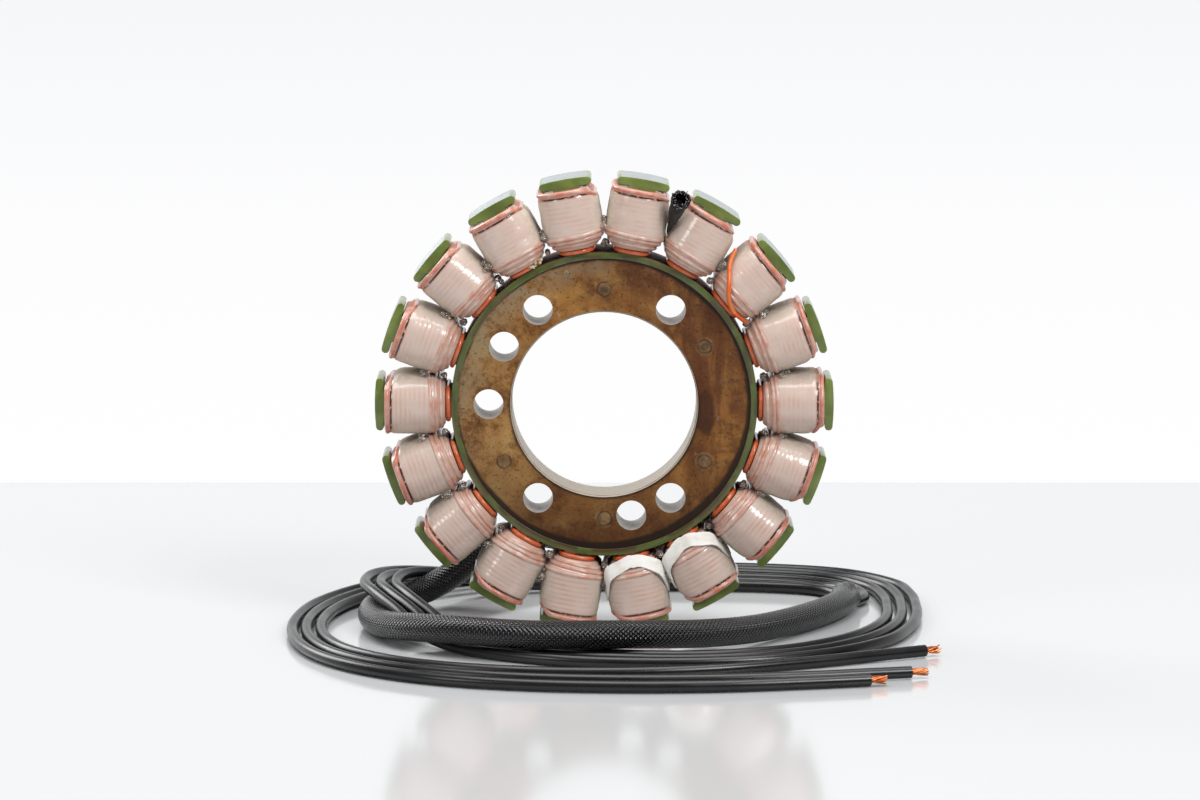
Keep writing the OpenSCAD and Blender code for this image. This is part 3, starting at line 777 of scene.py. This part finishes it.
# insulation coat with its fused, rounded edges
coat = dict(round=0.42, segments=4, flatWithin=1, roundOver=35, smoothUnder=40)  # mm and degrees
coatPiece = nodes["insulation_coat"].copy()
coatPiece.data = nodes["insulation_coat"].data.copy()
coatPiece.parent = None
for key in list(coatPiece.keys()):
    del coatPiece[key]
bpy.context.scene.collection.objects.link(coatPiece)
coatPiece.name = coatPiece.data.name = "insulationCoat"
selectOnly(coatPiece)
bpy.ops.object.mode_set(mode="EDIT")
bpy.ops.mesh.select_all(action="SELECT")
bpy.ops.mesh.remove_doubles(threshold=1e-6)
bpy.ops.mesh.dissolve_limited(angle_limit=math.radians(coat["flatWithin"]))
bpy.ops.object.mode_set(mode="OBJECT")
rounding = coatPiece.modifiers.new("round", "BEVEL")
rounding.width = coat["round"] * mm
rounding.segments = coat["segments"]
rounding.limit_method = "ANGLE"
rounding.angle_limit = math.radians(coat["roundOver"])
bpy.ops.object.modifier_apply(modifier="round")
bpy.ops.object.shade_smooth_by_angle(angle=math.radians(coat["smoothUnder"]))
dress(coatPiece, epoxySkin)
place(coatPiece, "green_epoxy", "insulation_coat")
print("coat rounded")


# steel and hidden wires that keep the solids' own shape
for name, skin in (("lamination_stack", stackSkin), ("core_rivets", rivetSkin), ("star_joint", shadedJointSkin),
                   ("crossover_a", crossoverSkin), ("crossover_b", crossoverSkin), ("crossover_c", crossoverSkin)):
    dress(nodes[name], skin)


# jumper wire over one upper coil: degrees from the pole, radius and depth
jumper = dict(pole=40, steps=8, track=[
    (9.9, 47.4, 7.2), (9.2, 45, 8.8), (7.4, 42.8, 11), (4.4, 40.4, 12.4), (1.1, 38.3, 12.2),
    (-3.3, 37.3, 10.9), (-6.9, 37.7, 9.3), (-9.5, 38.3, 7.8), (-9.95, 38.4, 6.6)])
jumperLine = smoothRoute([onCircle(jumper["pole"] + a, r, d) for a, r, d in jumper["track"]], jumper["steps"])
place(wireMesh("jumperWire", jumperLine, wireWidth, jumperSkin, rounds=4), "enamelled_copper", "jumper_wire")


# phase tails behind the coils, which fan out side by side into the harness sleeve
tails = dict(radius=35.15, start=-22.3, end=-46.1, depth=7.5, gap=0.04, raised=0.9, straight=2, steps=8)
for k, key in enumerate("abc"):
    fan = (k - 1) * wireWidth
    depth = tails["depth"] + wireWidth * (k + 0.5) + tails["gap"] * (k + 2)
    start = (tails["radius"], tails["start"], depth)
    into = (harness["bundleRadius"] + 1.5 * fan, tails["end"],
            harness["bundleDepth"] - tails["raised"] + 1.1 * fan)
    track = [start, (start[0], start[1] - tails["straight"], start[2] + 4 * tails["gap"]),
             tuple((p + q) / 2 for p, q in zip(start, into)), (into[0], into[1] + tails["straight"], into[2]), into]
    line = smoothRoute([onCircle(a, r, -d) for r, a, d in track], tails["steps"])
    tail = wireMesh("phaseTail" + key.upper(), line, wireWidth, crossoverSkin)
    place(tail, "enamelled_copper", "phase_tail_" + key)


# star sleeve: short braided tube, squeezed in the slot, that turns its frayed mouth to the front
star = dict(
    angle=70, width=3.9, wall=0.5, sides=28, frayLength=2.0, fray=0.4, seed=9, steps=6,
    threads=64, threadWidth=0.2, threadSeed=12,
    track=[  # radius, depth and share of its width across the slot
        (44.3, 6.6, 0.28), (46.0, 8.6, 0.5), (48.2, 10.4, 0.85), (50.2, 11.7, 1.0), (51.3, 12.7, 1.05),
        (51.7, 13.7, 1.12)])
starLine = smoothRoute([onCircle(star["angle"], r, d) for r, d, share in star["track"]], star["steps"])
starTube = braidedTube("starSleeve", starLine, star)
acrossSlot = (onCircle(star["angle"] + 90, 1, 0) - onCircle(0, 0, 0)).normalized()
shares = smoothRoute([Vector((share, 0, 0)) for r, d, share in star["track"]], star["steps"])
for vertex in starTube.data.vertices:
    nearest = min(range(len(starLine)), key=lambda k: (starLine[k] - vertex.co).length)
    off = (vertex.co - starLine[nearest]).dot(acrossSlot)
    vertex.co += acrossSlot * off * (shares[nearest].x - 1)
starHeading = (starLine[-1] - starLine[-4]).normalized()
starSide, starAbove = sidesOf(starHeading)
frays = [starTube]
rng = random.Random(star["threadSeed"])
for k in range(star["threads"]):
    angle = fullTurn * k / star["threads"] + rng.uniform(-0.1, 0.1)
    out = (starSide * math.cos(angle) + starAbove * math.sin(angle)) * mm
    base = starLine[-1] + out * rng.uniform(1.3, 2.1) - starHeading * 0.7 * mm
    bend = rng.uniform(-0.6, 0.7)
    reach = rng.uniform(0.5, 1.3)
    line = [base + starHeading * reach * t * mm + out * bend * t * t for t in (0, 0.3, 0.6, 0.85, 1.0)]
    frays.append(wireMesh("fray", line, star["threadWidth"], braidSkin if k % 2 else threadSkin, rounds=1))
place(joinAs("starSleeve", frays), "braided_sleeve", "star_sleeve")
print("wires and sleeves made")


# lacing bands: half of the way round the coil and the sleeve behind it, each place with the tape's direction across
lacing = dict(width=3.4, thick=0.34, rows=6, steps=8, sway=0.12, wobble=0.05, flutter=0.06, fold=0.05, cup=0.08,
              half=[
                  ((37.11, 0, 10.74), (1, 0, 0.87)), ((37.61, 2.5, 10.72), (1, -0.3, 0.87)),
                  ((39.6, 6.1, 10.1), (0.8, -0.15, 0.5)), ((43.0, 7.15, 7.5), (0.85, -0.1, 0.5)),
                  ((44.9, 7.33, 4.18), (1, 0, 0)), ((45.2, 7.35, -4.18), (1, 0, 0)),
                  ((44.7, 7.2, -7.18), (0.9, -0.1, -0.3)), ((42.9, 6.75, -10.4), (0.75, -0.5, -0.35)),
                  ((40.2, 5.7, -13.8), (0.5, -0.8, 0.05)), ((38.4, 4.3, -16.4), (0.55, -0.75, 0.25)),
                  ((37.0, 2.2, -17.4), (0.85, -0.45, 0.15)), ((36.5, 0, -17.6), (1, 0, 0))])


def lacingBand(name, angle, seed):
    rng = random.Random(seed)
    half, steps = lacing["half"], lacing["steps"]
    mirrored = [((s, -a, d), (x, -y, z)) for (s, a, d), (x, y, z) in half[-2:0:-1]]
    places = [Vector(p) for p, w in half + mirrored]
    widths = [Vector(w).normalized() for p, w in half + mirrored]
    count = len(places)
    stations = []
    for i in range(count):
        near = [places[(i + n) % count] for n in (-1, 0, 1, 2)]
        for t in (k / steps for k in range(steps)):
            stations.append((curveAt(*near, t), widths[i].lerp(widths[(i + 1) % count], t).normalized()))
    total = len(stations)
    obj = startFrom(name, bpy.ops.mesh.primitive_grid_add, x_subdivisions=total, y_subdivisions=lacing["rows"],
                    size=1)
    wobble = [rng.uniform(-1, 1) for k in range(total)]
    station = {}
    for vertex in obj.data.vertices:
        i = round((vertex.co.x + 0.5) * total) % total
        t = vertex.co.y * 2
        here, wide = stations[i]
        ahead = stations[(i + 1) % total][0] - stations[i - 1][0]
        out = wide.cross(ahead).normalized()
        sway = lacing["sway"] * math.sin(0.41 * i + seed) + lacing["wobble"] * wobble[i]
        reach = lacing["width"] / 2 * (1 + lacing["flutter"] * math.sin(0.23 * i + 2 * seed))
        fold = lacing["fold"] * math.sin(5 * t + 0.15 * i)
        spot = here + wide * (t * reach + sway) + out * (fold - lacing["cup"] * t * t)
        station[vertex.index] = (i * 0.9, t * reach)
        vertex.co = atPole(angle, *spot)
    mapPlaces(obj, "weave", station)
    closeAndThicken(obj, lacing["thick"])
    bpy.ops.object.shade_smooth_by_angle(angle=math.radians(50))
    dress(obj, lacingSkin)
    return place(obj, "white_lacing", "lacing_band_" + name[-1])


bands = [lacingBand("lacingBand1", -60, 3), lacingBand("lacingBand2", -80, 8)]

for key, (lead, strands, line) in leadPieces.items():
    print("lead", key, round(routeLength(line), 4), "m")


# varnish that has run together between the coils, and the dry crumbs it left
drips = dict(
    seed=21, perSlot=5, lowOnes=2, skipped=(70,), size=(0.45, 0.85), stretch=(1.0, 2.2),
    lowRadius=(37.4, 38.5), lowDepth=(5.2, 8.2), highRadius=(41.6, 43.6), highDepth=(5.6, 9.4))
dryCrumbs = dict(
    count=18, angle=(111.5, 118.5), radius=(36.2, 37.7), depth=(8.6, 9.5), size=(0.18, 0.48), stretch=(0.7, 1.5),
    drop=(70.8, 46.9, 9.3), dropSize=0.62)


def droplet(name, spot, size, stretch, heading, skin, seed):
    obj = startFrom(name, bpy.ops.mesh.primitive_ico_sphere_add, subdivisions=3 if size > 0.5 else 2, radius=1,
                    location=(0, 0, 0))
    turn = heading.to_track_quat("Z", "Y")
    for vertex in obj.data.vertices:
        lump = 1 + 0.22 * noise.noise(vertex.co * 1.6 + Vector((seed, 0, 0)))
        shape = Vector((vertex.co.x, vertex.co.y, vertex.co.z * stretch)) * size * lump * mm
        vertex.co = spot + turn @ shape
    bpy.ops.object.shade_smooth()
    dress(obj, skin)
    return obj


rng = random.Random(drips["seed"])
beads = []
for k in range(poleCount):
    angle = k * poleStep + poleStep / 2
    if angle in drips["skipped"]:
        continue
    for n in range(drips["perSlot"]):
        level = "low" if n < drips["lowOnes"] else "high"
        radius = rng.uniform(*drips[level + "Radius"])
        depth = rng.uniform(*drips[level + "Depth"])
        spot = onCircle(angle + rng.uniform(-0.5, 0.5), radius, depth)
        heading = Vector((rng.uniform(-0.5, 0.5), -1, rng.uniform(-0.5, 0.5)))
        beads.append(droplet("varnishBeads", spot, rng.uniform(*drips["size"]), rng.uniform(*drips["stretch"]),
                             heading, varnishSkin, k * 5.1 + n))
place(joinAs("varnishBeads", beads), "varnished_copper")

crumbs = [droplet("resinCrumbs", onCircle(*dryCrumbs["drop"]), dryCrumbs["dropSize"], 1.1, Vector((0, -1, 0.4)),
                  crumbSkin, 3.0)]
for k in range(dryCrumbs["count"]):
    spot = onCircle(*(rng.uniform(*dryCrumbs[key]) for key in ("angle", "radius", "depth")))
    size, stretch = (rng.uniform(*dryCrumbs[key]) for key in ("size", "stretch"))
    heading = Vector((rng.uniform(-1, 1), -1, rng.uniform(-1, 1)))
    crumbs.append(droplet("resinCrumbs", spot, size, stretch, heading, crumbSkin, k * 2.3))
place(joinAs("resinCrumbs", crumbs), "varnished_copper")
print("varnish drips added")


# table, light and background
table = dict(wide=3.0, near=-3.0, far=0.219, top=-0.0001)
floor = startFrom("floor", bpy.ops.mesh.primitive_plane_add, size=2, location=(0, 0, 0))
for vertex in floor.data.vertices:
    vertex.co = (vertex.co.x * table["wide"], table["far"] if vertex.co.y > 0 else table["near"], table["top"])
dress(floor, newMaterial("paleGlossTable", {"Base Color": "#C1C2C3", "Roughness": 0.11})[0])

scene = bpy.context.scene
scene.view_settings.view_transform = "Standard"
world = bpy.data.worlds.new("studio")
scene.world = world
world.use_nodes = True
tree = world.node_tree
tree.nodes.clear()
rays = addNode(tree, "LightPath").outputs
ray = addNode(tree, "SeparateXYZ", {"Vector": addNode(tree, "TexCoord").outputs["Generated"]}).outputs
# what the camera sees behind the table: white at its edge, pale grey higher up
backdrop = ramp(span(ray["Z"], -0.16, -0.06), (0.0, "#FFFFFF"), (0.5, "#FDFDFE"), (1.0, "#F5F6F8"))
# soft light from all round, brighter above and behind
above = span(ray["Z"], 0.1, 0.8)
behind = span(ray["Y"], -0.1, 0.75)
soft = span(maths("MAXIMUM", above, behind), 0.0, 1.0, 0.55, 0.42)
# what shines in glossy pieces: a dark room with the white backdrop low behind the table
screen = times(behind, span(ray["Z"], 0.55, 0.25))
dusk = span(above, 0.0, 1.0, 0.28, 0.06)
shine = span(screen, 0.0, 1.0, 1.0, dusk)
glow = span(rays["Is Glossy Ray"], 0.0, 1.0, shine, soft)
around = addNode(tree, "Background", {"Color": "#F8F9FA", "Strength": glow}).outputs[0]
seen = addNode(tree, "Background", {"Color": backdrop, "Strength": 1.0}).outputs[0]
mixed = addNode(tree, "MixShader", {0: rays["Is Camera Ray"], 1: around, 2: seen}).outputs[0]
addNode(tree, "OutputWorld", {"Surface": mixed})

lamps = dict(  # place and target in metres, size and power
    overhead=((0.0, 0.0, 1.1), (0, 0, 0.05), 0.9, 10.0),
    rightFront=((0.75, -0.95, 0.95), (0, 0, 0.05), 0.5, 11.0),
    leftFront=((-1.0, -0.9, 0.6), (0, 0, 0.05), 0.4, 3.0),
    leftBack=((-0.9, 0.9, 0.75), (0, 0, 0.03), 0.7, 9.0))
for name, (spot, target, size, power) in lamps.items():
    data = bpy.data.lights.new(name, "AREA")
    data.shape = "SQUARE"
    data.size = size
    data.energy = power
    lamp = bpy.data.objects.new(name, data)
    lamp.location = spot
    lamp.rotation_euler = (Vector(target) - Vector(spot)).to_track_quat("-Z", "Y").to_euler()
    scene.collection.objects.link(lamp)
print("stage lit")
